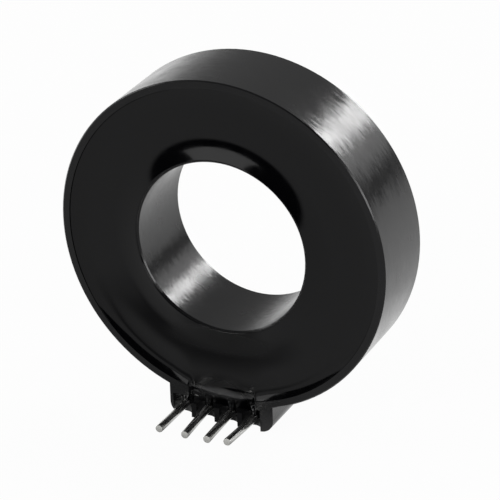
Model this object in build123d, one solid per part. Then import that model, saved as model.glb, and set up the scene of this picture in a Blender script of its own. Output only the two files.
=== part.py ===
from build123d import *
import math
import os

# A potted zero-sequence current transformer for a circuit board, in millimetres.
# The bore runs along Y. The open front of the housing, filled with resin, lies at Y = 0,
# and the closed back at Y = ring_depth. The origin is the bore's centre on the front rim.
# The foot points down, and its four pins stand out of the front, towards -Y.

# Ring of the housing, a cup moulded round a bore tube
outer_radius = 17.5
outer_draft = 0.1  # how much smaller the outer radius is at the back
bore_radius = 9.0
ring_depth = 8.9
outer_wall = 0.8
bore_wall = 0.7
back_wall = 1.0
rim_bevel = 0.12
back_bevel = 0.3

# Terminal pins, in one row along X
pin_count = 4
pin_pitch = 2.54
pin_radius = 0.4
pin_reach = 5.1  # from the front rim to the tip
pin_tail = 4.6  # from the front rim to the inner end
pin_tip_chamfer = 0.08
pin_row_x = -1.09  # middle of the row, a little to the left of the bore

# Foot of the housing, hollow like the ring
foot_drop = 2.15  # how far the foot reaches below the ring
foot_left_land = 0.34  # flat face left of the first groove
foot_right_land = 1.41  # flat face right of the last groove
foot_corner = 1.4
foot_floor = 0.6
foot_side_wall = 0.75
foot_front_wall = 1.6
groove_radius = 1.0  # half-round grooves in the front, one at each pin
groove_above_pin = 1.35  # from the pin's axis to the groove's top
ledge_above_pin = 0.6  # from the pin's axis to the sill of the wire window
recess_depth = 0.9  # shallow recess in the front, over the wire window
recess_left_inset = 0.75  # from the first pin's axis to the recess, inwards
recess_right_reach = 0.48  # from the last pin's axis to the recess's end, outwards
window_margin = 0.45  # wire window beyond the first pin's axis

# Potting resin
resin_depth = 0.5  # flat part of the surface, below the rim
resin_edge_depth = 0.1  # where the surface has crept up the walls
inner_meniscus = 1.8  # width of the slope at the bore tube
outer_meniscus = 1.0  # width of the slope at the outer wall
lip_width = 1.55  # rounded edge over the wire window, measured along the radius
lip_overhang = 0.25  # how far the lip reaches past the cavity's wall
ridge_radius = 0.4  # resin run down over each pin's root

# Magnetic core, strip wound, in its case
core_clearance = 0.1
cushion_thickness = 0.3
case_wall = 0.5

# Windings and tape round the case
secondary_outside = 0.5
secondary_inside = 0.75
secondary_end = 0.6
tape_thickness = 0.15
test_thickness = 0.25
test_margin = 0.55  # test winding beyond the axes of its two leads
wound_cover = 0.45  # resin over the wound core, under the flat part of the surface
wound_back_gap = 0.3  # resin between the wound core and the back wall
wound_outer_gap = 0.35  # resin between the wound core and the outer wall
wound_inner_gap = 0.3  # resin between the wound core and the bore tube

# Leads
lead_radius = 0.15
lead_setback = 1.0  # from the foot's front wall to the leads
sleeve_wall = 0.17
sleeve_clearance = 0.03
solder_radius = 0.58
solder_height = 0.6
solder_clearance = 0.1  # between the first joint and the foot's left wall

past = 1.0  # how far a cut runs on past what it cuts

# Places that follow from the sizes above
cavity_inner = bore_radius + bore_wall
cavity_outer = outer_radius - outer_wall
cavity_back = ring_depth - back_wall
foot_bottom = -(outer_radius + foot_drop)
pin_z = foot_bottom + foot_floor + pin_radius
pin_top = pin_z + pin_radius
pin_xs = [pin_row_x + (i - (pin_count - 1) / 2) * pin_pitch for i in range(pin_count)]
foot_left = pin_xs[0] - groove_radius - foot_left_land
foot_right = pin_xs[-1] + groove_radius + foot_right_land
foot_root = -(cavity_inner + cavity_outer) / 2
groove_top = pin_z + groove_above_pin
ledge_z = pin_z + ledge_above_pin
recess_left = pin_xs[0] + recess_left_inset
recess_right = pin_xs[-1] + recess_right_reach
window_left = pin_xs[0] - window_margin
chamber_left = pin_xs[0] - solder_radius - solder_clearance
chamber_right = foot_right - foot_side_wall
lip_radius = cavity_outer + lip_overhang
lead_y = foot_front_wall + lead_setback
solder_top = pin_top + solder_height

# The wound core fills the cavity but for the gaps round it. Each layer is given by its inner
# and outer radius and its front and back end along Y, and the core takes what the layers leave.
coil = (
    cavity_inner + wound_inner_gap + 2 * tape_thickness,
    cavity_outer - wound_outer_gap - 2 * tape_thickness,
    resin_depth + wound_cover + 2 * tape_thickness,
    cavity_back - wound_back_gap - 2 * tape_thickness,
)
case = (
    coil[0] + secondary_inside,
    coil[1] - secondary_outside,
    coil[2] + secondary_end,
    coil[3] - secondary_end,
)
core = (
    case[0] + case_wall + core_clearance,
    case[1] - case_wall - core_clearance,
    case[2] + case_wall + cushion_thickness,
    case[3] - case_wall,
)
coil_outer = coil[1]


def block(x0, x1, y0, y1, z0, z1):
    """A box between two corners."""
    return Pos((x0 + x1) / 2, (y0 + y1) / 2, (z0 + z1) / 2) * Box(x1 - x0, y1 - y0, z1 - z0)


def turned(section):
    """A section drawn with X as the radius, turned round the bore's axis."""
    return revolve(section, Axis.Y, 360)


def ring(inner, outer, front, back):
    """A ring of rectangular section round the bore's axis."""
    section = Pos((inner + outer) / 2, (front + back) / 2) * Rectangle(outer - inner, back - front)
    return turned(section)


def wrapped(grow):
    """The outside of the secondary winding, grown by some thickness of tape or wire."""
    return ring(coil[0] - grow, coil[1] + grow, coil[2] - grow, coil[3] + grow)


def along_y(x, z, radius, y0, y1):
    """A round bar along Y."""
    return Pos(x, (y0 + y1) / 2, z) * Rot(90, 0, 0) * Cylinder(radius, y1 - y0)


def upright(x, y, radius, z0, z1):
    """A round bar along Z."""
    return Pos(x, y, (z0 + z1) / 2) * Cylinder(radius, z1 - z0)


def foot_chamber():
    """The hollow of the foot, open to the ring above, with the window in its front wall."""
    floor = foot_bottom + foot_floor
    chamber = block(chamber_left, chamber_right, foot_front_wall, cavity_back, floor, foot_root)
    window = block(window_left, recess_right, recess_depth, foot_front_wall, ledge_z, foot_root)
    return chamber + window


def make_housing():
    outline = Polyline(
        (bore_radius, 0),
        (outer_radius, 0),
        (outer_radius - outer_draft, ring_depth),
        (bore_radius, ring_depth),
        close=True,
    )
    section = make_face(outline)
    section = chamfer(section.vertices().group_by(Axis.Y)[0], rim_bevel)
    section = chamfer(section.vertices().group_by(Axis.Y)[-1], back_bevel)
    body = turned(section)

    foot = Pos((foot_left + foot_right) / 2, 0) * Rectangle(
        foot_right - foot_left, foot_root - foot_bottom, align=(Align.CENTER, Align.MIN)
    )
    foot = fillet(foot.vertices().group_by(Axis.Y)[0], foot_corner)
    foot = Pos(0, ring_depth, foot_bottom) * Rot(90, 0, 0) * extrude(foot, ring_depth)
    body += foot

    body -= ring(cavity_inner, cavity_outer, -past, cavity_back)
    body -= foot_chamber()
    body -= block(recess_left, recess_right, -past, recess_depth, ledge_z, foot_root)
    for x in pin_xs:
        body -= upright(x, 0, groove_radius, foot_bottom - past, groove_top)
        body -= along_y(x, pin_z, pin_radius, 0, foot_front_wall + past)
    return body


def make_pin(x):
    pin = along_y(x, pin_z, pin_radius, -pin_reach, pin_tail)
    return chamfer(pin.edges().group_by(Axis.Y)[0], pin_tip_chamfer)


def make_core():
    return ring(*core)


def make_cushion():
    return ring(core[0], core[1], core[2] - cushion_thickness, core[2])


def make_case_cup():
    rim = case[2] + case_wall
    return ring(case[0], case[1], rim, case[3]) - ring(
        case[0] + case_wall, case[1] - case_wall, rim - past, core[3]
    )


def make_case_lid():
    return ring(case[0], case[1], case[2], case[2] + case_wall)


def lead(x, start_radius):
    """One end of a winding, from inside its turns straight down to the top of its pin."""
    start = -math.sqrt(start_radius ** 2 - x ** 2)
    return upright(x, lead_y, lead_radius, pin_top, start)


def secondary_leads():
    middle = (case[1] + coil_outer) / 2
    return [lead(pin_xs[0], middle), lead(pin_xs[-1], middle)]


def test_leads():
    middle = coil_outer + tape_thickness + test_thickness / 2
    return [lead(x, middle) for x in pin_xs[1:-1]]


def make_secondary():
    winding = wrapped(0) - ring(*case)
    for wire in secondary_leads():
        winding += wire
    return winding


def test_sector(grow, spread):
    """A wrap that only covers the wedge at the bottom that the test winding takes up."""
    reach = outer_radius
    first = math.asin((pin_xs[1] - test_margin - spread) / coil_outer)
    last = math.asin((pin_xs[-2] + test_margin + spread) / coil_outer)
    corners = [(0, 0), (reach * math.tan(first), -reach), (reach * math.tan(last), -reach)]
    wedge = extrude(make_face(Polyline(*corners, close=True)), ring_depth)
    return wrapped(tape_thickness + grow) & (Pos(0, ring_depth, 0) * Rot(90, 0, 0) * wedge)


def make_interlayer_tape():
    tape = wrapped(tape_thickness) - wrapped(0)
    for wire in secondary_leads():
        tape -= wire
    return tape


def make_test_winding():
    winding = test_sector(test_thickness, 0) - wrapped(tape_thickness)
    for wire in test_leads():
        winding += wire
    return winding


def wound_envelope():
    """The outside of the finished coil, with a bump where the test winding lies under the tape."""
    bump = test_sector(test_thickness + tape_thickness, tape_thickness)
    return wrapped(2 * tape_thickness) + bump


def make_outer_tape():
    tape = wound_envelope() - wrapped(tape_thickness) - test_sector(test_thickness, 0)
    for wire in secondary_leads() + test_leads():
        tape -= wire
    return tape


def make_solder(x):
    """A cone of solder round the lead's end and over the top half of the pin."""
    skirt = upright(x, lead_y, solder_radius, pin_z, pin_top)
    flank = Pos(x, lead_y, (pin_top + solder_top) / 2) * Cone(
        solder_radius, 2 * lead_radius, solder_height
    )
    joint = skirt + flank
    joint -= along_y(x, pin_z, pin_radius, -pin_reach, pin_tail)
    joint -= upright(x, lead_y, lead_radius, pin_top, solder_top + past)
    return joint


def sleeve_envelope(x):
    radius = lead_radius + sleeve_clearance + sleeve_wall
    return upright(x, lead_y, radius, solder_top, foot_root) - wound_envelope()


def make_sleeve(x):
    return sleeve_envelope(x) - upright(x, lead_y, lead_radius + sleeve_clearance, pin_top, foot_root)


def resin_surface_section(lipped):
    """The resin across the ring. It creeps up the walls in a slope, and over the wire window it
    rolls down in a rounded lip instead of meeting a wall."""
    tube = (cavity_inner, resin_edge_depth)
    flat_start = (cavity_inner + inner_meniscus, resin_depth)
    if lipped:
        flat_end = (lip_radius - lip_width, resin_depth)
        corner = (lip_radius, foot_front_wall)
        edge = [(lip_radius, recess_depth), corner, (cavity_outer, foot_front_wall)]
        outer = TangentArc(flat_end, edge[0], tangent=(1, 0))
    else:
        flat_end = (cavity_outer - outer_meniscus, resin_depth)
        edge = [(cavity_outer, resin_edge_depth)]
        outer = Line(flat_end, edge[0])
    walls = Polyline(*edge, (cavity_outer, cavity_back), (cavity_inner, cavity_back), tube)
    return make_face(Polyline(tube, flat_start, flat_end) + outer + walls)


def make_resin(housing):
    notch = block(recess_left, recess_right, 0, cavity_back, foot_bottom, foot_root)
    resin = turned(resin_surface_section(False)) - notch
    resin += turned(resin_surface_section(True)) & notch
    bore_side = ring(0, lip_radius - lip_width, -past, ring_depth)
    resin += foot_chamber() - bore_side
    for x in pin_xs:
        resin += upright(x, recess_depth, ridge_radius, pin_top, groove_top)
        resin -= along_y(x, pin_z, pin_radius, -pin_reach, pin_tail)
        resin -= upright(x, lead_y, lead_radius, pin_top, foot_root)
        resin -= sleeve_envelope(x)
        resin -= make_solder(x)
    return resin - wound_envelope() - housing


housing = make_housing()
parts = {
    "housing": housing,
    "potting_resin": make_resin(housing),
    "magnetic_core": make_core(),
    "core_cushion": make_cushion(),
    "core_case_cup": make_case_cup(),
    "core_case_lid": make_case_lid(),
    "secondary_winding": make_secondary(),
    "interlayer_tape": make_interlayer_tape(),
    "test_winding": make_test_winding(),
    "outer_tape": make_outer_tape(),
}
for number, x in enumerate(pin_xs, start=1):
    parts[f"terminal_pin_{number}"] = make_pin(x)
    parts[f"solder_joint_{number}"] = make_solder(x)
    parts[f"lead_sleeve_{number}"] = make_sleeve(x)

os.makedirs("parts", exist_ok=True)
for name, solid in parts.items():
    export_step(solid, f"parts/{name}.step")
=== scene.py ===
import math

import bmesh
import bpy
from mathutils import Matrix, Vector


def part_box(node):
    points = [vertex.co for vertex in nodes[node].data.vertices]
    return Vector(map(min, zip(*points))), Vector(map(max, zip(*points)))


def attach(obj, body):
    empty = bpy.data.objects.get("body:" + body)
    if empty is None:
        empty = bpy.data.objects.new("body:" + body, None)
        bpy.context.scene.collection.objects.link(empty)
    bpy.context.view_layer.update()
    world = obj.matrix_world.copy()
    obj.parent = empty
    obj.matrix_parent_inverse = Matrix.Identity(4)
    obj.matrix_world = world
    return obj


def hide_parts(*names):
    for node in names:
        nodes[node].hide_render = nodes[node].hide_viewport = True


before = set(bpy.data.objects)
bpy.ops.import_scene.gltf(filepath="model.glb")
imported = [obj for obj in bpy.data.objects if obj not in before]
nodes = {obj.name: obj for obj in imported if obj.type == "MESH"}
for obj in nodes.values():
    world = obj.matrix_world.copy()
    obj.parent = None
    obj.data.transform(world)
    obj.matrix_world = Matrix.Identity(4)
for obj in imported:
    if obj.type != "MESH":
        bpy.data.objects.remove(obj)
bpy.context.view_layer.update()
mm = 0.001
near = 0.01 * mm  # closer than this counts as the same place
print("frame loaded:", len(nodes), "nodes")

# sizes that the looks need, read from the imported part
housingLow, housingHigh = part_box("housing")
ringRadius = housingHigh.z
ringDepth = housingHigh.y
footBottom = housingLow.z
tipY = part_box("terminal_pin_1")[0].y


def deselectAll():
    if bpy.context.object and bpy.context.object.mode != "OBJECT":
        bpy.ops.object.mode_set(mode="OBJECT")
    bpy.ops.object.select_all(action="DESELECT")


def makeActive(obj):
    deselectAll()
    obj.select_set(True)
    bpy.context.view_layer.objects.active = obj


def hexToLinear(code):
    channels = [int(code[i:i + 2], 16) / 255 for i in (0, 2, 4)]
    linear = [c / 12.92 if c <= 0.04045 else ((c + 0.055) / 1.055) ** 2.4 for c in channels]
    return (*linear, 1)


def addNode(tree, kind, settings=None, **links):
    # a node with its settings, and its inputs given as numbers, colours or other nodes' outputs;
    # in0 and in1 are inputs by number, and elsewhere an underscore stands for a space
    node = tree.nodes.new(kind)
    for key, value in (settings or {}).items():
        setattr(node, key, value)
    for key, value in links.items():
        byNumber = key.startswith("in") and key[2:].isdigit()
        socket = node.inputs[int(key[2:]) if byNumber else key.replace("_", " ")]
        if isinstance(value, bpy.types.NodeSocket):
            tree.links.new(value, socket)
        else:
            socket.default_value = value
    return node


def newMaterial(name):
    material = bpy.data.materials.new(name)
    material.use_nodes = True
    material.node_tree.nodes.clear()
    return material, material.node_tree


def finishMaterial(tree, shader):
    addNode(tree, "ShaderNodeOutputMaterial", Surface=shader)


def wear(obj, material):
    for slotHolder in obj.material_slots:
        slotHolder.material = material
    if not obj.material_slots:
        obj.data.materials.append(material)


noiseLow, noiseHigh = 0.3, 0.7  # nearly all of a noise texture lies between these
plainGloss = 0.5  # the shader's usual specular level
throughAll = 1000  # mm, a zone that goes right through the part


def ovalZone(tree, place, zone, plane="XY"):
    # 0 inside an oval given in mm, 1 outside, with a soft edge
    across, along = zone["centre"]
    wide, deep = zone["reach"]
    thick = zone.get("thick", throughAll)
    turned = math.radians(zone.get("turn", 0))
    if plane == "XY":
        centre = (across * mm, along * mm, 0)
        reach = (wide * mm, deep * mm, thick * mm)
        turn = (0, 0, turned)
    else:
        centre = (across * mm, 0, along * mm)
        reach = (wide * mm, thick * mm, deep * mm)
        turn = (0, turned, 0)
    inside = addNode(tree, "ShaderNodeMapping", {"vector_type": "TEXTURE"}, Vector=place,
                     Location=centre, Rotation=turn, Scale=reach)
    away = addNode(tree, "ShaderNodeVectorMath", {"operation": "LENGTH"}, in0=inside.outputs[0])
    edge = addNode(tree, "ShaderNodeMapRange", {"interpolation_type": "SMOOTHSTEP"},
                   Value=away.outputs["Value"], From_Min=zone["full"], From_Max=1.0)
    return edge.outputs[0]


def barrelCoordinates(tree, alongMm, acrossMm):
    # round the bore's axis one way, and along it or out from it the other way, in units of the pattern's size
    place = addNode(tree, "ShaderNodeTexCoord").outputs["Object"]
    flat = addNode(tree, "ShaderNodeVectorMath", {"operation": "MULTIPLY"}, in0=place, in1=(1, 0, 1))
    outward = addNode(tree, "ShaderNodeVectorMath", {"operation": "NORMALIZE"}, in0=flat.outputs[0])
    turned = addNode(tree, "ShaderNodeVectorMath", {"operation": "SCALE"}, in0=outward.outputs[0],
                     Scale=ringRadius / (alongMm * mm))
    out = addNode(tree, "ShaderNodeVectorMath", {"operation": "LENGTH"}, in0=flat.outputs[0])
    split = addNode(tree, "ShaderNodeSeparateXYZ", Vector=place)
    across = addNode(tree, "ShaderNodeMath", {"operation": "ADD"}, in0=split.outputs["Y"],
                     in1=out.outputs["Value"])
    across = addNode(tree, "ShaderNodeMath", {"operation": "DIVIDE"}, in0=across.outputs[0],
                     in1=acrossMm * mm)
    lifted = addNode(tree, "ShaderNodeCombineXYZ", X=0.0, Y=across.outputs[0], Z=0.0)
    both = addNode(tree, "ShaderNodeVectorMath", {"operation": "ADD"}, in0=turned.outputs[0],
                   in1=lifted.outputs[0])
    return both.outputs[0]


def leanRound(tree, normal, amount):
    # the normal leant by a small amount the way the marks run, round the bore's axis
    place = addNode(tree, "ShaderNodeTexCoord").outputs["Object"]
    along = addNode(tree, "ShaderNodeVectorMath", {"operation": "CROSS_PRODUCT"}, in0=place, in1=(0, 1, 0))
    along = addNode(tree, "ShaderNodeVectorMath", {"operation": "NORMALIZE"}, in0=along.outputs[0])
    along = addNode(tree, "ShaderNodeVectorMath", {"operation": "SCALE"}, in0=along.outputs[0], Scale=amount)
    leant = addNode(tree, "ShaderNodeVectorMath", {"operation": "ADD"}, in0=normal, in1=along.outputs[0])
    level = addNode(tree, "ShaderNodeVectorMath", {"operation": "NORMALIZE"}, in0=leant.outputs[0])
    return level.outputs[0]


def glassFilledPlastic():
    # black glass-filled polyester, moulded and turned: satin, with fine marks that run round the ring and
    # break the edges of what it mirrors into streaks; real marks are finer, and these are drawn as coarse
    # as they need to be to show
    look = {
        "colour": "101011", "paler": "141415", "patchMm": 3.0,
        "roughness": 0.24, "smoother": 0.03, "rougher": 0.04,
        "marksLongMm": 1.7, "marksWideMm": 0.08, "marksDeepMm": 0.001, "leanMost": 0.2,
        # painted shade: less shine in the recess between the pins
        "stain": {"centre": (-0.5, -18.7), "reach": (4.7, 1.6), "thick": 3.5, "full": 0.85},
        "stainGloss": 0.08,
    }
    material, tree = newMaterial("glass_filled_polyester_black")
    place = addNode(tree, "ShaderNodeTexCoord").outputs["Object"]
    barrel = barrelCoordinates(tree, look["marksLongMm"], look["marksWideMm"])
    marks = addNode(tree, "ShaderNodeTexNoise", Vector=barrel, Scale=1.0, Detail=3.0, Roughness=0.7)
    patches = addNode(tree, "ShaderNodeTexNoise", Vector=place, Scale=1 / (look["patchMm"] * mm), Detail=3.0)
    roughness = addNode(tree, "ShaderNodeMapRange", Value=patches.outputs[0],
                        From_Min=noiseLow, From_Max=noiseHigh,
                        To_Min=look["roughness"] - look["smoother"],
                        To_Max=look["roughness"] + look["rougher"])
    bump = addNode(tree, "ShaderNodeBump", Height=marks.outputs[0], Distance=look["marksDeepMm"] * mm,
                   Strength=1.0)
    lean = addNode(tree, "ShaderNodeMapRange", {"clamp": False}, Value=marks.outputs[0],
                   To_Min=-look["leanMost"], To_Max=look["leanMost"])
    tint = addNode(tree, "ShaderNodeMixRGB", Fac=patches.outputs[0], Color1=hexToLinear(look["colour"]),
                   Color2=hexToLinear(look["paler"]))
    # painted shade: the ribs between the pins, deep in the recess under the lip, are given less shine so that
    # they come out darker
    gloss = addNode(tree, "ShaderNodeMapRange", Value=ovalZone(tree, place, look["stain"], "XZ"),
                    To_Min=look["stainGloss"], To_Max=plainGloss)
    shader = addNode(tree, "ShaderNodeBsdfPrincipled", Base_Color=tint.outputs[0],
                     Roughness=roughness.outputs[0], IOR=1.5, Specular_IOR_Level=gloss.outputs[0],
                     Normal=leanRound(tree, bump.outputs[0], lean.outputs[0]))
    finishMaterial(tree, shader.outputs[0])
    return material


def castEpoxy():
    # black epoxy, poured and cured level: glossy, with a faint slow swell where it shrank
    look = {
        "colour": "030304", "roughness": 0.085, "hazeMm": 1.2, "hazeSpan": (0.35, 0.65),
        "haze": 0.02,
        "swellMm": 5.0, "swellDeepMm": 0.006,
        "dullRoughness": 0.3,
        "dullZones": [{"centre": (-0.5, -17.0), "reach": (4.0, 3.2), "full": 0.5},
                      {"centre": (-0.5, -10.4), "reach": (7.5, 2.0), "full": 0.6}],
        # painted highlight: a paler colour on the lip, for the bright band that it mirrors where it rolls
        # over
        "lipSheenColour": "303031", "lipSheenZone": {"centre": (-1.0, -16.6), "reach": (3.6, 0.9), "full": 0.5},
        # painted shade: less shine in the foot's recess under the lip
        "stain": {"centre": (-0.5, -18.6), "reach": (4.7, 1.5), "full": 0.7}, "stainGloss": 0.12,
        # painted shade: a dark line along the fold above the lip
        "crease": {"centre": (1.05, -15.74), "reach": (2.1, 0.2), "full": 0.55}, "creaseShadeGloss": 0.05,
    }
    material, tree = newMaterial("cast_epoxy_black")
    place = addNode(tree, "ShaderNodeTexCoord").outputs["Object"]
    swell = addNode(tree, "ShaderNodeTexNoise", Vector=place, Scale=1 / (look["swellMm"] * mm), Detail=1.0)
    haze = addNode(tree, "ShaderNodeTexNoise", Vector=place, Scale=1 / (look["hazeMm"] * mm), Detail=4.0)
    hazeLow, hazeHigh = look["hazeSpan"]
    gloss = addNode(tree, "ShaderNodeMapRange", Value=haze.outputs[0], From_Min=hazeLow, From_Max=hazeHigh,
                    To_Min=look["roughness"] - look["haze"], To_Max=look["roughness"] + look["haze"])
    # the skin is duller where the resin ran: over the lip, in the foot and just under the bore
    roughness = gloss.outputs[0]
    for zone in look["dullZones"]:
        clear = ovalZone(tree, place, zone, "XZ")
        dulled = addNode(tree, "ShaderNodeMix", Factor=clear, A=look["dullRoughness"], B=roughness)
        roughness = dulled.outputs[0]
    # painted highlight: the lip paler than the rest of the resin
    paintedLightTint = addNode(tree, "ShaderNodeMixRGB", Fac=ovalZone(tree, place, look["lipSheenZone"], "XZ"),
                    Color1=hexToLinear(look["lipSheenColour"]), Color2=hexToLinear(look["colour"]))
    # painted shade: less shine in the foot's recess, so that it comes out darker
    inFoot = addNode(tree, "ShaderNodeMapRange", Value=ovalZone(tree, place, look["stain"], "XZ"),
                     To_Min=look["stainGloss"], To_Max=plainGloss)
    # painted shade: the fold above the lip gets almost no shine and the resin's plain dark colour, so that it
    # shows as a thin dark line
    offCrease = ovalZone(tree, place, look["crease"], "XZ")
    inCrease = addNode(tree, "ShaderNodeMapRange", Value=offCrease, To_Min=look["creaseShadeGloss"], To_Max=1.0)
    paintedLightTint = addNode(tree, "ShaderNodeMixRGB", Fac=offCrease, Color1=hexToLinear(look["colour"]),
                    Color2=paintedLightTint.outputs[0])
    specular = addNode(tree, "ShaderNodeMath", {"operation": "MULTIPLY"}, in0=inFoot.outputs[0],
                       in1=inCrease.outputs[0])
    bump = addNode(tree, "ShaderNodeBump", Height=swell.outputs[0], Distance=look["swellDeepMm"] * mm,
                   Strength=1.0)
    shader = addNode(tree, "ShaderNodeBsdfPrincipled", Base_Color=paintedLightTint.outputs[0], Roughness=roughness,
                     IOR=1.5, Specular_IOR_Level=specular.outputs[0], Normal=bump.outputs[0])
    finishMaterial(tree, shader.outputs[0])
    return material


def tinnedCopper():
    # copper wire, drawn and hot tinned: bright, with fine drawing marks along the wire, also drawn coarser
    # than real ones so that they show; its sheared ends are duller than the drawn side
    look = {
        "colour": "f4f4f1", "roughness": 0.25, "smoother": 0.1, "rougher": 0.12,
        "marksLongMm": 1.4, "marksWideMm": 0.2, "marksDeepMm": 0.006,
        "cutRoughness": 0.8, "cutFromMm": 0.06, "cutFullMm": 0.01,
    }
    material, tree = newMaterial("tinned_copper_wire")
    place = addNode(tree, "ShaderNodeTexCoord").outputs["Object"]
    perWidth = 1 / (look["marksWideMm"] * mm)
    perLength = 1 / (look["marksLongMm"] * mm)
    stretched = addNode(tree, "ShaderNodeMapping", Vector=place, Scale=(perWidth, perLength, perWidth))
    marks = addNode(tree, "ShaderNodeTexNoise", Vector=stretched.outputs[0], Scale=1.0, Detail=2.0)
    drawn = addNode(tree, "ShaderNodeMapRange", Value=marks.outputs[0], From_Min=noiseLow, From_Max=noiseHigh,
                    To_Min=look["roughness"] - look["smoother"], To_Max=look["roughness"] + look["rougher"])
    split = addNode(tree, "ShaderNodeSeparateXYZ", Vector=place)
    cutEnd = addNode(tree, "ShaderNodeMapRange", Value=split.outputs["Y"],
                     From_Min=tipY + look["cutFromMm"] * mm, From_Max=tipY + look["cutFullMm"] * mm)
    roughness = addNode(tree, "ShaderNodeMix", Factor=cutEnd.outputs[0], A=drawn.outputs[0],
                        B=look["cutRoughness"])
    bump = addNode(tree, "ShaderNodeBump", Height=marks.outputs[0], Distance=look["marksDeepMm"] * mm,
                   Strength=1.0)
    shader = addNode(tree, "ShaderNodeBsdfPrincipled", Base_Color=hexToLinear(look["colour"]), Metallic=1.0,
                     Roughness=roughness.outputs[0], Normal=bump.outputs[0])
    finishMaterial(tree, shader.outputs[0])
    return material


def plainFinish(name, colourA, colourB, roughness, grainMm, metallic=0.0, ior=1.5, stretch=(1, 1, 1)):
    # what the hidden pieces share: two close tones in a grain of a real size, and a bump from it
    grainDeepMm, grainStrength = 0.01, 0.6
    material, tree = newMaterial(name)
    place = addNode(tree, "ShaderNodeTexCoord").outputs["Object"]
    scaled = addNode(tree, "ShaderNodeMapping", Vector=place, Scale=stretch)
    grain = addNode(tree, "ShaderNodeTexNoise", Vector=scaled.outputs[0], Scale=1 / (grainMm * mm),
                    Detail=3.0)
    tint = addNode(tree, "ShaderNodeMixRGB", Fac=grain.outputs[0], Color1=hexToLinear(colourA),
                   Color2=hexToLinear(colourB))
    bump = addNode(tree, "ShaderNodeBump", Height=grain.outputs[0], Distance=grainDeepMm * mm,
                   Strength=grainStrength)
    shader = addNode(tree, "ShaderNodeBsdfPrincipled", Base_Color=tint.outputs[0], Roughness=roughness,
                     Metallic=metallic, Normal=bump.outputs[0])
    if not metallic:
        shader.inputs["IOR"].default_value = ior
    finishMaterial(tree, shader.outputs[0])
    return material


def dressHiddenPieces():
    # nanocrystalline strip, wound: grey metal, its edges packed into fine rings
    core = plainFinish("nanocrystalline_strip_wound", "8b8d92", "a7a9ad", 0.34, 0.4, 1.0, stretch=(1, 12, 1))
    # silicone foam, cut from sheet: pale, dull and finely pitted
    cushion = plainFinish("silicone_foam_cut", "c9c5be", "b9b5ae", 0.7, 0.3)
    # nylon, moulded uncoloured: cream, between dull and glossy
    case = plainFinish("nylon_natural_moulded", "dcd5c0", "d3ccb6", 0.45, 0.8, ior=1.53)
    # enamelled copper wire, wound close: warm metal under a glossy film
    copper = plainFinish("enamelled_copper_wound", "a85a2c", "c87943", 0.28, 0.25, 1.0, stretch=(1, 0.2, 1))
    # polyester film tape, wrapped tight: smooth yellow with some gloss
    tape = plainFinish("polyester_tape_wrapped", "d9b13a", "cfa52f", 0.3, 1.5, ior=1.6)
    # tin solder, cooled in air: satin grey with a slight grain
    joint = plainFinish("tin_solder_cooled", "b5b6b7", "9c9d9f", 0.36, 0.3, 1.0)
    # fluoropolymer sleeving, extruded: waxy white
    sleeve = plainFinish("ptfe_sleeving_extruded", "e6e4dd", "dcdad2", 0.42, 0.5, ior=1.4)
    finishes = {
        "magnetic_core": core, "core_cushion": cushion, "core_case": case, "winding": copper, "tape": tape,
        "solder_joint": joint, "lead_sleeve": sleeve,
    }
    for name, node in nodes.items():
        for word, finish in finishes.items():
            if word in name:
                wear(node, finish)


# the poured resin, in mm; depths are below the plane of the rim
resin = {
    "tubeRadius": 9.72, "wallRadius": 16.685, "gap": 0.006,  # a hair clear of the housing
    "flatDepth": 0.3, "underside": 0.93,
    "edgeRadius": 9.14, "beadRadius": 9.22, "beadHigh": 0.15,  # crept over the rim of the bore tube
    "innerEnd": 11.8, "innerPower": 1.7,  # where the slope up to the bore ends, and how it curves
    "outerSlope": 2.2, "outerSlopeLow": 1.35, "wallDepth": 0.1, "wallDepthLow": 0.02,  # up to the outer wall
    "sagDeep": 0.08, "sagFrom": 13.0, "sagTo": 15.2,  # sunk beside the window
    "sagTop": -5.0, "sagFull": -12.0, "sagAside": (3.2, 5.6),
    "lipLeft": -4.15, "lipRight": 3.2, "lipEase": 0.55, "lipStartLeft": 16.1, "lipStartRight": 15.6,
    "lipRadius": 17.04, "lipDepth": 0.9, "rollPower": 2.2,
    "rippleZ": -15.7, "rippleFrom": -0.9, "rippleTo": 3.0, "rippleIn": 0.5, "rippleOut": 0.4,
    "rippleWidth": 0.2, "rippleHigh": -0.02, "rippleBend": 0.12, "rippleWaves": 1.6,
    "swirlPlace": (-0.7, -14.9), "swirlWidth": 0.9, "swirlDeep": 0.02, "swirlFlat": 2, "swirlRings": 5,
    "turns": 720, "beadRings": 4, "innerRings": 18, "outerRings": 20, "outerFrom": 15.4,
    "flatRings": (11.9, 12.5, 13.0, 13.4, 13.8, 14.1, 14.4, 14.7, 14.95, 15.15, 15.3),
    "sliceFront": -1, "sliceDepth": 0.7, "sliceBottom": -17.1, "smoothAngle": 35,
}


def ease(value, start, end):
    # 0 before start, 1 after end, smooth between them
    share = min(1.0, max(0.0, (value - start) / (end - start)))
    return share * share * (3 - 2 * share)


def lipShare(x, z):
    # 1 where the resin rolls over into the wire window, 0 where it meets the wall
    if z > 0:
        return 0.0
    soft = resin["lipEase"]
    fromLeft = ease(x, resin["lipLeft"], resin["lipLeft"] + soft)
    fromRight = ease(x, resin["lipRight"], resin["lipRight"] - soft)
    return fromLeft * fromRight


def lipStart(x):
    along = ease(x, resin["lipLeft"], resin["lipRight"])
    return resin["lipStartLeft"] + along * (resin["lipStartRight"] - resin["lipStartLeft"])


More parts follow.
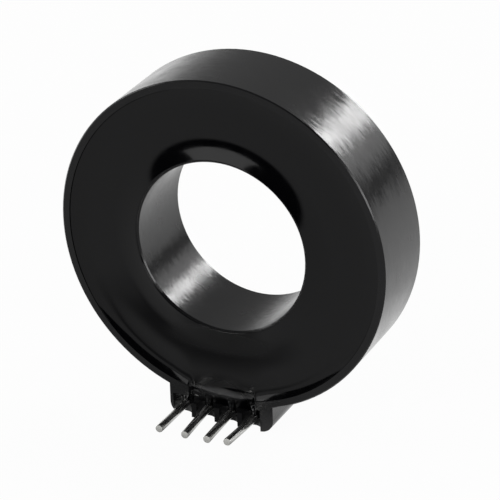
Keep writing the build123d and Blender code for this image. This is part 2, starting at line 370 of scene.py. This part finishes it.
def ripple(x, z):
    # a thin fold of skin just above the lip, and a shallow swirl where the last resin ran in
    along = ease(x, resin["rippleFrom"], resin["rippleFrom"] + resin["rippleIn"])
    along *= ease(x, resin["rippleTo"], resin["rippleTo"] - resin["rippleOut"])
    wave = resin["rippleBend"] * math.sin(resin["rippleWaves"] * x)
    off = (z - resin["rippleZ"] - wave) / resin["rippleWidth"]
    fold = resin["rippleHigh"] * along * off * math.exp(0.5 - off * off)
    swirlX, swirlZ = resin["swirlPlace"]
    fromSwirl = math.hypot(x - swirlX, (z - swirlZ) * resin["swirlFlat"]) / resin["swirlWidth"]
    swirl = resin["swirlDeep"] * math.exp(-fromSwirl ** 2) * math.cos(resin["swirlRings"] * fromSwirl + x)
    return fold + swirl


def resinDepth(x, z):
    # depth of the resin's surface below the rim: level, creeping up both walls, rolling down at the lip
    r = math.hypot(x, z)
    bead, wall = resin["beadRadius"], resin["wallRadius"]
    if r < bead:
        over = min(1.0, (bead - r) / (bead - resin["edgeRadius"]))
        thin = 2 * resin["gap"]
        return -thin - (resin["beadHigh"] - thin) * math.sqrt(1 - over * over)
    low = ease(z, resin["sagTop"], resin["sagFull"])
    beside = ease(abs(x - (resin["lipLeft"] + resin["lipRight"]) / 2), *resin["sagAside"])
    level = resin["flatDepth"] + resin["sagDeep"] * low * beside * ease(r, resin["sagFrom"], resin["sagTo"])
    outerSlope = resin["outerSlope"] + low * (resin["outerSlopeLow"] - resin["outerSlope"])
    wallDepth = resin["wallDepth"] + low * (resin["wallDepthLow"] - resin["wallDepth"])
    towardsTube = max(0.0, 1 - (r - bead) / (resin["innerEnd"] - bead))
    towardsWall = max(0.0, 1 - (wall - r) / outerSlope)
    start = lipStart(x)
    roll = min(1.0, max(0.0, (r - start) / (wall - start)))
    fall = (resin["lipDepth"] - level) * (1 - math.sqrt(1 - roll ** resin["rollPower"]))
    inLip = lipShare(x, z)
    creep = (resin["flatDepth"] + resin["beadHigh"]) * towardsTube ** resin["innerPower"]
    creep += (1 - inLip) * (level - wallDepth) * towardsWall ** 2
    return level - creep + inLip * fall + ripple(x, z)


def slicedResin():
    # the CAD resin without its front, which the poured surface takes the place of
    body = nodes["potting_resin"].copy()
    body.data = nodes["potting_resin"].data.copy()
    body.name = "poured_resin"
    body.parent = None
    for key in list(body.keys()):
        del body[key]
    bpy.context.scene.collection.objects.link(body)
    makeActive(body)
    bpy.ops.object.mode_set(mode="EDIT")
    bpy.ops.mesh.select_all(action="SELECT")
    bpy.ops.mesh.remove_doubles(threshold=1e-7)
    bpy.ops.object.mode_set(mode="OBJECT")
    deselectAll()
    low = Vector((-ringRadius, resin["sliceFront"] * mm, resin["sliceBottom"] * mm))
    high = Vector((ringRadius, resin["sliceDepth"] * mm, ringRadius))
    bpy.ops.mesh.primitive_cube_add(size=1, location=(low + high) / 2, scale=high - low)
    joinSolids(body, bpy.context.object, "DIFFERENCE")
    return body


def ringsBetween(start, end, count):
    # radii after start, up to and with end
    return [start + (end - start) * i / count for i in range(1, count + 1)]


def pouredSurface():
    # one circle on the rim of the bore tube, extruded outwards ring by ring, then round behind and back
    deselectAll()
    first, bead, tube, wall = (resin[k] for k in ("edgeRadius", "beadRadius", "tubeRadius", "wallRadius"))
    bpy.ops.mesh.primitive_circle_add(vertices=resin["turns"], radius=first * mm, location=(0, 0, 0),
                                      rotation=(math.pi / 2, 0, 0))
    ring = bpy.context.object
    bpy.ops.object.transform_apply(location=True, rotation=True, scale=True)
    radii = ringsBetween(first, bead, resin["beadRings"])
    radii += ringsBetween(bead, resin["innerEnd"], resin["innerRings"])
    radii += resin["flatRings"]
    radii.append(resin["outerFrom"])
    radii += ringsBetween(resin["outerFrom"], wall, resin["outerRings"])
    back = [(wall, resin["underside"]), (tube, resin["underside"]), (tube, -resin["gap"]),
            (first, -resin["gap"])]
    bpy.ops.object.mode_set(mode="EDIT")
    bpy.ops.mesh.select_all(action="SELECT")
    before, level = first, 0.0
    for radius, depth in [(radius, 0.0) for radius in radii] + back:
        bpy.ops.mesh.extrude_edges_move(TRANSFORM_OT_translate={"value": (0, (depth - level) * mm, 0)})
        bpy.ops.transform.resize(value=(radius / before, 1, radius / before), center_override=(0, 0, 0))
        before, level = radius, depth
    bpy.ops.object.mode_set(mode="OBJECT")
    for vertex in ring.data.vertices:
        x, y, z = vertex.co / mm
        if abs(y) < 0.001:  # the front rings are still level with the rim
            vertex.co.y = resinDepth(x, z) * mm
        r = math.hypot(x, z)
        reach = max(0.0, (r - lipStart(x)) / (wall - lipStart(x)))
        stretch = 1 + lipShare(x, z) * reach * (resin["lipRadius"] - wall) / r
        vertex.co.x *= stretch
        vertex.co.z *= stretch
    bpy.ops.object.mode_set(mode="EDIT")
    bpy.ops.mesh.select_all(action="DESELECT")
    bpy.ops.mesh.select_mode(type="EDGE")
    bpy.ops.mesh.select_non_manifold()
    bpy.ops.mesh.bridge_edge_loops()
    bpy.ops.object.mode_set(mode="OBJECT")
    faceOutwards(ring)
    return ring


def faceOutwards(obj):
    # a closed shell's normals, made to agree and then turned out if its volume comes out negative
    makeActive(obj)
    bpy.ops.object.mode_set(mode="EDIT")
    bpy.ops.mesh.select_all(action="SELECT")
    bpy.ops.mesh.normals_make_consistent(inside=False)
    if bmesh.from_edit_mesh(obj.data).calc_volume(signed=True) < 0:
        bpy.ops.mesh.flip_normals()
    bpy.ops.object.mode_set(mode="OBJECT")


def joinSolids(body, other, operation="UNION"):
    makeActive(body)
    cut = body.modifiers.new("join", "BOOLEAN")
    cut.operation = operation
    cut.object = other
    cut.solver = "MANIFOLD"
    bpy.ops.object.modifier_apply(modifier=cut.name)
    bpy.data.objects.remove(other)


def makeResin(material):
    body = slicedResin()
    joinSolids(body, pouredSurface())
    makeActive(body)
    bpy.ops.object.shade_smooth_by_angle(angle=math.radians(resin["smoothAngle"]))
    body.data.materials.clear()
    body.data.materials.append(material)
    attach(body, "root")
    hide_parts("potting_resin")
    print("poured resin:", len(body.data.polygons), "faces")


pins = {
    "bendsMm": [(-0.06, 0.02), (0.23, -0.06), (0.13, -0.04), (-0.20, 0.16)],  # how far each tip is pushed
    "bendFromMm": 0.2, "bendPower": 1.15, "stepMm": 0.45, "steps": 11,
    "sides": 40, "tipBevelMm": 0.07, "smoothAngle": 40,
}


def makePin(number, bend, material):
    node = f"terminal_pin_{number}"
    low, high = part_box(node)
    centre = (low + high) / 2
    radius = (high.x - low.x) / 2
    deselectAll()
    bpy.ops.mesh.primitive_cylinder_add(vertices=pins["sides"], radius=radius, depth=high.y - low.y,
                                        location=centre, rotation=(math.pi / 2, 0, 0))
    pin = bpy.context.object
    pin.name = f"tinned_pin_{number}"
    bpy.ops.object.transform_apply(location=True, rotation=True, scale=True)
    bpy.ops.object.mode_set(mode="EDIT")
    bpy.ops.mesh.select_all(action="DESELECT")
    shape = bmesh.from_edit_mesh(pin.data)
    for edge in shape.edges:
        if all(v.co.y < low.y + near for v in edge.verts):
            edge.select = True
    bmesh.update_edit_mesh(pin.data)
    bpy.ops.mesh.bevel(offset=pins["tipBevelMm"] * mm, segments=2, affect="EDGES")
    for i in range(pins["steps"]):
        y = pins["bendFromMm"] - pins["stepMm"] * i
        bpy.ops.mesh.select_all(action="SELECT")
        bpy.ops.mesh.bisect(plane_co=(0, y * mm, 0), plane_no=(0, 1, 0))
    bpy.ops.object.mode_set(mode="OBJECT")
    reach = pins["bendFromMm"] * mm - low.y
    for vertex in pin.data.vertices:
        out = max(0.0, pins["bendFromMm"] * mm - vertex.co.y) / reach
        share = out ** pins["bendPower"]
        vertex.co.x += bend[0] * mm * share
        vertex.co.z += bend[1] * mm * share
    makeActive(pin)
    bpy.ops.object.shade_smooth_by_angle(angle=math.radians(pins["smoothAngle"]))
    pin.data.materials.append(material)
    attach(pin, "root")
    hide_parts(node)


# the table and the room; places and spans in metres, shades in mm, angles in degrees
studio = {
    "floorSize": 3.0, "floorWhite": 0.96, "paperTone": 0.8,
    "paperBack": 0.94, "paperBehind": 1.3, "behindSpan": (0.034, 0.015),  # brightest just behind the part
    "paperLeftExtra": 0.45, "leftSpan": (-0.005, -0.04),
    "paperFront": 0.33, "frontSpan": (-0.11, -0.085),  # where the table ends
    "middleSpan": (-0.006, 0.011),  # from the front's level to the back's
    "shades": [{"centre": (-4, -5.2), "reach": (14, 3.6), "turn": 0, "full": 0.1, "level": 0.2},
               {"centre": (-11, -16), "reach": (15, 7.5), "turn": 20, "full": 0.4, "level": 0.35},
               {"centre": (-20, -22), "reach": (9, 9), "turn": 0, "full": 0.3, "level": 0.78}],
    "fill": 0.5, "roomDark": 0.003, "roomScale": 2.0, "roomSpan": (-0.7, 0.3),
    "roomLevels": [(0, 0.0), (13, 0.0), (21, 0.55), (28, 1.0), (34, 0.65), (42, 0.13), (70, 0.15),
                   (90, 0.185), (125, 0.165), (148, 0.14), (162, 0.2), (172, 0.39), (180, 0.5)],
}

# directions from the part, distances and sizes in metres, angles in degrees, powers in watts
lamps = {
    "distance": 0.7,
    "keyDirection": (0.367, 0.803, 0.469), "keyWidth": 0.12, "keyHeight": 0.2, "keyPower": 1.14,
    "panelAzimuth": 25, "panelElevation": 20, "panelWidth": 0.2, "panelHeight": 0.22, "panelPower": 1.2,
    "cardAzimuth": 24, "cardDistance": 0.25, "cardHeightMm": 8,
    "cardWide": 0.085, "cardTall": 0.08, "cardPower": 0.021,
    "rightCard": (0.8, -0.57, 0.2), "rightCardPower": 1.0,
    "leftCard": (-0.89, -0.18, 0.41), "leftCardPower": 0.35, "sideCardSize": 0.24,
}


def addLamp(name, place, width, height, power, upright=(0, 0, 1)):
    deselectAll()
    bpy.ops.object.light_add(type="AREA", location=place)
    lamp = bpy.context.object
    lamp.name = name
    lamp.data.shape = "RECTANGLE"
    lamp.data.size = width
    lamp.data.size_y = height
    lamp.data.energy = power
    away = (lamp.location - Vector((0, ringDepth / 2, 0))).normalized()
    across = Vector(upright).cross(away).normalized()
    lamp.rotation_euler = Matrix((across, away.cross(across), away)).transposed().to_euler()


def paperLevel(tree, value, span, **levels):
    # a level of the paper that changes softly over a span of the table
    mapped = addNode(tree, "ShaderNodeMapRange", {"interpolation_type": "SMOOTHSTEP"}, Value=value,
                     From_Min=span[0], From_Max=span[1], **levels)
    return mapped.outputs[0]


def addFloor():
    deselectAll()
    bpy.ops.mesh.primitive_plane_add(size=studio["floorSize"], location=(0, 0, footBottom))
    floor = bpy.context.object
    floor.name = "studio_floor"
    bpy.ops.object.transform_apply(location=True, rotation=True, scale=True)
    material, tree = newMaterial("white_paper_sweep")
    path = addNode(tree, "ShaderNodeLightPath")
    tone = studio["paperTone"]
    paper = addNode(tree, "ShaderNodeBsdfDiffuse", Color=(tone, tone, tone, 1))
    white = addNode(tree, "ShaderNodeEmission", Color=(1, 1, 1, 1), Strength=1.0)
    seen = addNode(tree, "ShaderNodeMixShader", Fac=studio["floorWhite"])
    tree.links.new(paper.outputs[0], seen.inputs[1])
    tree.links.new(white.outputs[0], seen.inputs[2])
    # what the gloss of the part sees: lit paper behind it, and dimmer paper in front that ends at the
    # table's edge
    place = addNode(tree, "ShaderNodeTexCoord").outputs["Object"]
    split = addNode(tree, "ShaderNodeSeparateXYZ", Vector=place)
    behind = paperLevel(tree, split.outputs["Y"], studio["behindSpan"], To_Min=studio["paperBack"],
                        To_Max=studio["paperBehind"])
    left = paperLevel(tree, split.outputs["X"], studio["leftSpan"], To_Min=0.0,
                      To_Max=studio["paperLeftExtra"])
    lit = addNode(tree, "ShaderNodeMath", {"operation": "ADD"}, in0=behind, in1=left)
    front = paperLevel(tree, split.outputs["Y"], studio["frontSpan"], To_Min=studio["roomDark"],
                       To_Max=studio["paperFront"])
    back = paperLevel(tree, split.outputs["Y"], studio["middleSpan"])
    level = addNode(tree, "ShaderNodeMix", Factor=back, A=front, B=lit.outputs[0])
    # the part's own shade on the paper: close under the ring, and fainter ones further out
    for shade in studio["shades"]:
        light = addNode(tree, "ShaderNodeMapRange", Value=ovalZone(tree, place, shade), To_Min=shade["level"])
        level = addNode(tree, "ShaderNodeMath", {"operation": "MULTIPLY"}, in0=level.outputs[0],
                        in1=light.outputs[0])
    mirrored = addNode(tree, "ShaderNodeEmission", Color=(1, 1, 1, 1), Strength=level.outputs[0])
    glossy = addNode(tree, "ShaderNodeMixShader", Fac=path.outputs["Is Glossy Ray"])
    tree.links.new(paper.outputs[0], glossy.inputs[1])
    tree.links.new(mirrored.outputs[0], glossy.inputs[2])
    both = addNode(tree, "ShaderNodeMixShader", Fac=path.outputs["Is Camera Ray"])
    tree.links.new(glossy.outputs[0], both.inputs[1])
    tree.links.new(seen.outputs[0], both.inputs[2])
    finishMaterial(tree, both.outputs[0])
    floor.data.materials.append(material)


def addWorld():
    world = bpy.data.worlds.new("studio")
    bpy.context.scene.world = world
    world.use_nodes = True
    tree = world.node_tree
    tree.nodes.clear()
    path = addNode(tree, "ShaderNodeLightPath")
    split = addNode(tree, "ShaderNodeSeparateXYZ",
                    Vector=addNode(tree, "ShaderNodeTexCoord").outputs["Generated"])
    # what the gloss of the part sees of the room behind it, going round from the right over the top to the
    # left; in front of the part the room is dark
    around = addNode(tree, "ShaderNodeMath", {"operation": "ARCTAN2"}, in0=split.outputs["Z"],
                     in1=split.outputs["X"])
    share = addNode(tree, "ShaderNodeMath", {"operation": "DIVIDE"}, in0=around.outputs[0], in1=math.pi)
    room = addNode(tree, "ShaderNodeValToRGB", Fac=share.outputs[0])
    stops = room.color_ramp.elements
    for degrees, level in studio["roomLevels"][1:-1]:
        stops.new(degrees / 180)
    for stop, (degrees, level) in zip(stops, studio["roomLevels"]):
        stop.position = degrees / 180
        stop.color = (level, level, level, 1)
    darkTo, litFrom = studio["roomSpan"]
    behind = addNode(tree, "ShaderNodeMapRange", {"interpolation_type": "SMOOTHSTEP"},
                     Value=split.outputs["Y"], From_Min=darkTo, From_Max=litFrom, To_Min=0.0,
                     To_Max=studio["roomScale"])
    reflected = addNode(tree, "ShaderNodeMath", {"operation": "MULTIPLY_ADD"}, in0=room.outputs[0],
                        in1=behind.outputs[0], in2=studio["roomDark"])
    soft = addNode(tree, "ShaderNodeBackground", Color=(1, 1, 1, 1), Strength=studio["fill"])
    mirror = addNode(tree, "ShaderNodeBackground", Color=(1, 1, 1, 1), Strength=reflected.outputs[0])
    white = addNode(tree, "ShaderNodeBackground", Color=(1, 1, 1, 1), Strength=1.0)
    first = addNode(tree, "ShaderNodeMixShader", Fac=path.outputs["Is Glossy Ray"])
    tree.links.new(soft.outputs[0], first.inputs[1])
    tree.links.new(mirror.outputs[0], first.inputs[2])
    second = addNode(tree, "ShaderNodeMixShader", Fac=path.outputs["Is Camera Ray"])
    tree.links.new(first.outputs[0], second.inputs[1])
    tree.links.new(white.outputs[0], second.inputs[2])
    addNode(tree, "ShaderNodeOutputWorld", Surface=second.outputs[0])


def addLights():
    far = lamps["distance"]
    addLamp("key_softbox", Vector(lamps["keyDirection"]) * far, lamps["keyWidth"], lamps["keyHeight"],
            lamps["keyPower"], upright=(0, 1, 0))
    turn, lift = math.radians(lamps["panelAzimuth"]), math.radians(lamps["panelElevation"])
    panel = Vector((-math.sin(turn) * math.cos(lift), -math.cos(turn) * math.cos(lift), math.sin(lift)))
    addLamp("front_panel", panel * far, lamps["panelWidth"], lamps["panelHeight"], lamps["panelPower"])
    turn = math.radians(lamps["cardAzimuth"])
    place = Vector((-math.sin(turn), -math.cos(turn), 0)) * lamps["cardDistance"]
    place.z = lamps["cardHeightMm"] * mm
    addLamp("low_card", place, lamps["cardWide"], lamps["cardTall"], lamps["cardPower"])
    size = lamps["sideCardSize"]
    addLamp("right_card", Vector(lamps["rightCard"]) * far, size, size, lamps["rightCardPower"])
    addLamp("left_card", Vector(lamps["leftCard"]) * far, size, size, lamps["leftCardPower"])


photoCamera = {
    "azimuth": 26.45, "elevation": 26.22, "roll": -1.75,  # solved from the rims in the photo
    "placeMm": (137.34, -269.67, 148.69), "pixelsPerUnit": 3465.5, "frame": 500, "sensorMm": 36,
    "clipStart": 0.01,
}


def addCamera():
    turn, lift, roll = (math.radians(photoCamera[k]) for k in ("azimuth", "elevation", "roll"))
    back = Vector((math.sin(turn) * math.cos(lift), -math.cos(turn) * math.cos(lift), math.sin(lift)))
    right = Vector((math.cos(turn), math.sin(turn), 0))
    up = back.cross(right)
    tilted = math.cos(roll) * right + math.sin(roll) * up
    upright = math.cos(roll) * up - math.sin(roll) * right
    deselectAll()
    bpy.ops.object.camera_add()
    camera = bpy.context.object
    camera.name = "photo_camera"
    pose = Matrix((tilted, upright, back)).transposed().to_4x4()
    pose.translation = Vector(photoCamera["placeMm"]) * mm
    camera.matrix_world = pose
    camera.data.sensor_width = photoCamera["sensorMm"]
    camera.data.lens = photoCamera["pixelsPerUnit"] / photoCamera["frame"] * photoCamera["sensorMm"]
    camera.data.clip_start = photoCamera["clipStart"]
    bpy.context.scene.camera = camera


wear(nodes["housing"], glassFilledPlastic())
dressHiddenPieces()
makeResin(castEpoxy())
tin = tinnedCopper()
for number, bend in enumerate(pins["bendsMm"], start=1):
    makePin(number, bend, tin)
print("materials on, pins bent")

addFloor()
addWorld()
addLights()
addCamera()
print("studio set")
bpy.context.scene.view_settings.view_transform = "Standard"
